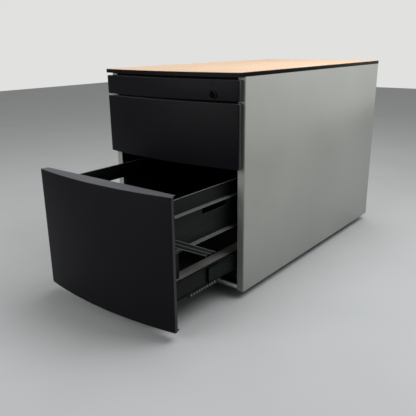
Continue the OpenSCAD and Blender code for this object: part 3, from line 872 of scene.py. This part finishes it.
@dataclass
class SlideRack:
    """Toothed strip under the front of each file slide: bright teeth on a dark bar."""

    first: float = 57.0
    pitch: float = 9.5
    slot: float = 5.5
    count: int = 10
    low: float = 68.5
    high: float = 75.5
    lead: float = 4.0
    tooth_foot: float = 0.6
    bar_x: tuple[float, float] = (187.4, 188.3)
    tooth_x: tuple[float, float] = (188.3, 189.1)

    def build(self) -> None:
        """Make the bars and the teeth of both sides."""
        bars, teeth = bmesh.new(), bmesh.new()
        start = CASE_FRONT_Y - FILE_OPEN + self.first
        for side in (-1, 1):
            self.block(bars, side, self.bar_x,
                       (start - self.lead, start + self.count * self.pitch),
                       (self.low, self.high))
            for k in range(self.count):
                y = start + k * self.pitch + self.slot
                self.block(teeth, side, self.tooth_x, (y, y + self.pitch - self.slot),
                           (self.low + self.tooth_foot, self.high))
        for name, shape, finish in (("file_rack_bars", bars, BLACK_SLIDE),
                                    ("file_rack_teeth", teeth, SLIDE_STEEL)):
            piece = from_bmesh(name, shape)
            piece.data.materials.append(finish.material())
            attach(piece, "file_drawer")
        LOG.info("file slides: racks of %d teeth", self.count)

    def block(self, shape: bmesh.types.BMesh, side: int, x: tuple[float, float],
              y: tuple[float, float], z: tuple[float, float]) -> None:
        """Add one square block.

        Args:
            shape: Bmesh that gains the block.
            side: 1 for the right of the cabinet, -1 for the left.
            x: Near and far distance from the middle.
            y: Front and back of the block.
            z: Foot and top of the block.
        """
        centre = Vector((side * (x[0] + x[1]) / 2, (y[0] + y[1]) / 2, (z[0] + z[1]) / 2)) * MM
        size = Matrix.Diagonal(Vector((x[1] - x[0], y[1] - y[0], z[1] - z[0]))) * MM
        bmesh.ops.create_cube(shape, size=1.0, matrix=Matrix.Translation(centre) @ size.to_4x4())


def paint_rim_highlights(node: str, side: int, depth_mm: float = 1.0) -> None:
    """Paint a highlight on the outer edges of a worked stay, with a lighter copy of its enamel.

    Args:
        node: CAD node whose worked copy is dressed.
        side: 1 for the right of the cabinet, -1 for the left.
        depth_mm: How far below the rims' crests a face may lie and still count as rim.
    """
    mesh = bpy.data.objects[node + "_worked"].data
    mesh.materials.append(RIM_HIGHLIGHT_COAT.material())
    crest = max(side * v.co.x for v in mesh.vertices)
    for face in mesh.polygons:
        # Faces at the outer crest take the lighter copy: the painted highlight
        if side * face.center.x > crest - depth_mm * MM:
            face.material_index = 1
    LOG.info("%s: painted rim highlights", node)


# ---------------------------------------------------------------- camera, floor and light

@dataclass
class CabinetCamera:
    """The view: a normal lens just above the top board, looking down at the front right corner."""

    heading_deg: float = 38.37
    tilt_deg: float = -17.72
    roll_deg: float = -0.7
    lens_mm: float = 44.71
    place: tuple[float, float, float] = (0.8688, -1.2182, 0.6115)

    def build(self) -> bpy.types.Object:
        """Make the camera.

        Returns:
            The camera object, set as the scene's camera.
        """
        heading, tilt, roll = (math.radians(a) for a in (self.heading_deg, self.tilt_deg, self.roll_deg))
        ahead = Vector((-math.sin(heading) * math.cos(tilt), math.cos(heading) * math.cos(tilt),
                        math.sin(tilt)))
        level = Vector((math.cos(heading), math.sin(heading), 0.0))
        up = level.cross(ahead)
        right = math.cos(roll) * level + math.sin(roll) * up
        top = -math.sin(roll) * level + math.cos(roll) * up
        lens = bpy.data.cameras.new("view")
        lens.lens = self.lens_mm
        lens.sensor_width = 36.0
        lens.clip_start = 0.05
        lens.clip_end = 40.0
        camera = bpy.data.objects.new("view", lens)
        turned = Matrix((right, top, -ahead)).transposed().to_4x4()
        camera.matrix_world = Matrix.Translation(self.place) @ turned
        bpy.context.scene.collection.objects.link(camera)
        bpy.context.scene.camera = camera
        return camera


@dataclass
class Softbox:
    """A square studio light that faces the cabinet."""

    name: str
    place: tuple[float, float, float]
    width: float
    power: float

    def build(self) -> None:
        """Hang the light."""
        light = bpy.data.lights.new(self.name, "AREA")
        light.size = self.width
        light.energy = self.power
        lamp = bpy.data.objects.new(self.name, light)
        lamp.location = self.place
        aim = Vector((0.0, 0.0, 0.35)) - Vector(self.place)
        lamp.rotation_mode = "QUATERNION"
        lamp.rotation_quaternion = aim.to_track_quat("-Z", "Y")
        lamp.visible_camera = False
        bpy.context.scene.collection.objects.link(lamp)


@dataclass
class Studio:
    """Pale floor, a bright wall of light behind, and a dim room in front."""

    floor_half: float = 6.0
    front_light: float = 0.1
    back_light: float = 0.78

    def build(self) -> None:
        """Make the floor, the lights and the world."""
        mesh = bpy.data.meshes.new("studio_floor")
        reach = self.floor_half
        corners = [(-reach, -reach, 0), (reach, -reach, 0), (reach, reach, 0), (-reach, reach, 0)]
        mesh.from_pydata(corners, [], [(0, 1, 2, 3)])
        floor = bpy.data.objects.new("studio_floor", mesh)
        bpy.context.scene.collection.objects.link(floor)
        mesh.materials.append(FLOOR.material())
        Softbox("ceiling_light", (0.2, 0.4, 2.3), 1.6, 25.0).build()
        Softbox("side_light", (1.0, 0.2, 1.5), 0.8, 12.0).build()
        Softbox("front_fill", (-0.8, -2.6, 1.25), 2.0, 44.0).build()
        self.world()
        LOG.info("studio: floor, three softboxes and a graded sky")

    def world(self) -> None:
        """Grade the surrounding light from dim in front to bright behind.

        The view transform is Standard, which the finishes' colours and the lights are set for.
        """
        world = bpy.data.worlds.new("studio")
        world.use_nodes = True
        tree = world.node_tree
        aim = add(tree, "ShaderNodeTexCoord").outputs["Generated"]
        parts = add(tree, "ShaderNodeSeparateXYZ", links={0: aim})
        level = add(tree, "ShaderNodeMapRange", {"From Min": -0.3, "From Max": 0.5,
                                                 "To Min": self.front_light,
                                                 "To Max": self.back_light},
                    {"Value": parts.outputs["Y"]})
        sky = tree.nodes["Background"]
        sky.inputs["Color"].default_value = linear("FBFBFA")
        tree.links.new(level.outputs["Result"], sky.inputs["Strength"])
        bpy.context.scene.world = world
        bpy.context.scene.view_settings.view_transform = "Standard"


def main() -> None:
    """Build the cabinet's pieces in order."""
    logging.basicConfig(level=logging.INFO, format="%(name)s: %(message)s")
    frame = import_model()
    CabinetCamera().build()
    Studio().build()
    sides = ("left", "right")
    corners = ("front_left", "front_right", "rear_left", "rear_right")
    WorkedNodes(frame, BLACK_CORE, ["top_board_core"], 0.5).build()
    WorkedNodes(frame, BEECH, ["top_board_decor"], 0.25).build()
    WorkedNodes(frame, GREY_COAT, ["side_panel_left", "side_panel_right", "back_panel"], 0.3).build()
    WorkedNodes(frame, BLACK_COAT, ["base_pan", "top_rail_front", "liner_left", "liner_right",
                                    "tray_floor", "tray_sides", "tray_ends", "middle_floor",
                                    "middle_sides", "middle_ends", "middle_catch",
                                    "file_catch"], 0.3).build()
    WorkedNodes(frame, RAIL, ["bottom_rail_front"], 0.3).build()
    WorkedNodes(frame, IRON, ["ballast_plate"], 1.5, 3).build()
    WorkedNodes(frame, INNER_COAT, ["file_back", "file_floor", "file_stay_left",
                                    "file_stay_right"], 0.3).build()
    WorkedNodes(frame, LEDGE_COAT, ["file_side_left", "file_side_right"], 0.3).build()
    WorkedNodes(frame, PHOSPHATE, ["file_rail_left", "file_rail_right"], 0.4).build()
    WorkedNodes(frame, SLIDE_STEEL, ["%s_%s" % (part, side) for side in sides
                                     for part in ("tray_runner", "tray_slide", "middle_runner",
                                                  "middle_mid", "middle_slide", "file_runner")],
                0.3).build()
    WorkedNodes(frame, BLACK_SLIDE, ["file_%s_%s" % (part, side) for part in ("mid", "slide")
                                     for side in sides], 0.3).build()
    WorkedNodes(frame, ZINC, ["castor_plates", "case_screws", "tray_screws", "middle_screws",
                              "file_screws", "lock_bar", "lock_bolt", "lock_cam"], 0.35).build()
    WorkedNodes(frame, ABS, ["pencil_tray", "lock_bar_guides"]
                + ["castor_housing_" + corner for corner in corners], 0.6, 3).build()
    WorkedNodes(frame, NYLON, ["castor_wheels_" + corner for corner in corners], 0.7, 3).build()
    BowedFront("tray_front", Carrier.TRAY, 487.0, 533.5, 90.0, lock_hole=9.0).build()
    BowedFront("middle_front", Carrier.MIDDLE, 333.0, 482.0, 120.0).build()
    drawer_front = CASE_FRONT_Y - FILE_OPEN
    mids_front = CASE_FRONT_Y - FILE_OPEN / 2
    BowedFront("file_front", Carrier.FILE, 22.5, 325.0, 163.0, y0=drawer_front).build()
    LockFace().build()
    SlideBeads("file_slide_beads", "file_drawer", 184.4, drawer_front + BEAD_INSET).build()
    SlideBeads("file_mid_beads", "file_mids", 190.2, mids_front + BEAD_INSET, radius=0.7).build()
    SlideRack().build()
    for side, sign in (("left", -1), ("right", 1)):
        paint_rim_highlights("file_stay_" + side, sign)
    BallCages("file_slides", "file_mids", mids_front + CAGE_CENTRE, 75.5).build()
    BallCages("middle_slides", "middle_mids", CASE_FRONT_Y + CAGE_CENTRE, 350.0).build()


if __name__ == "__main__":
    main()
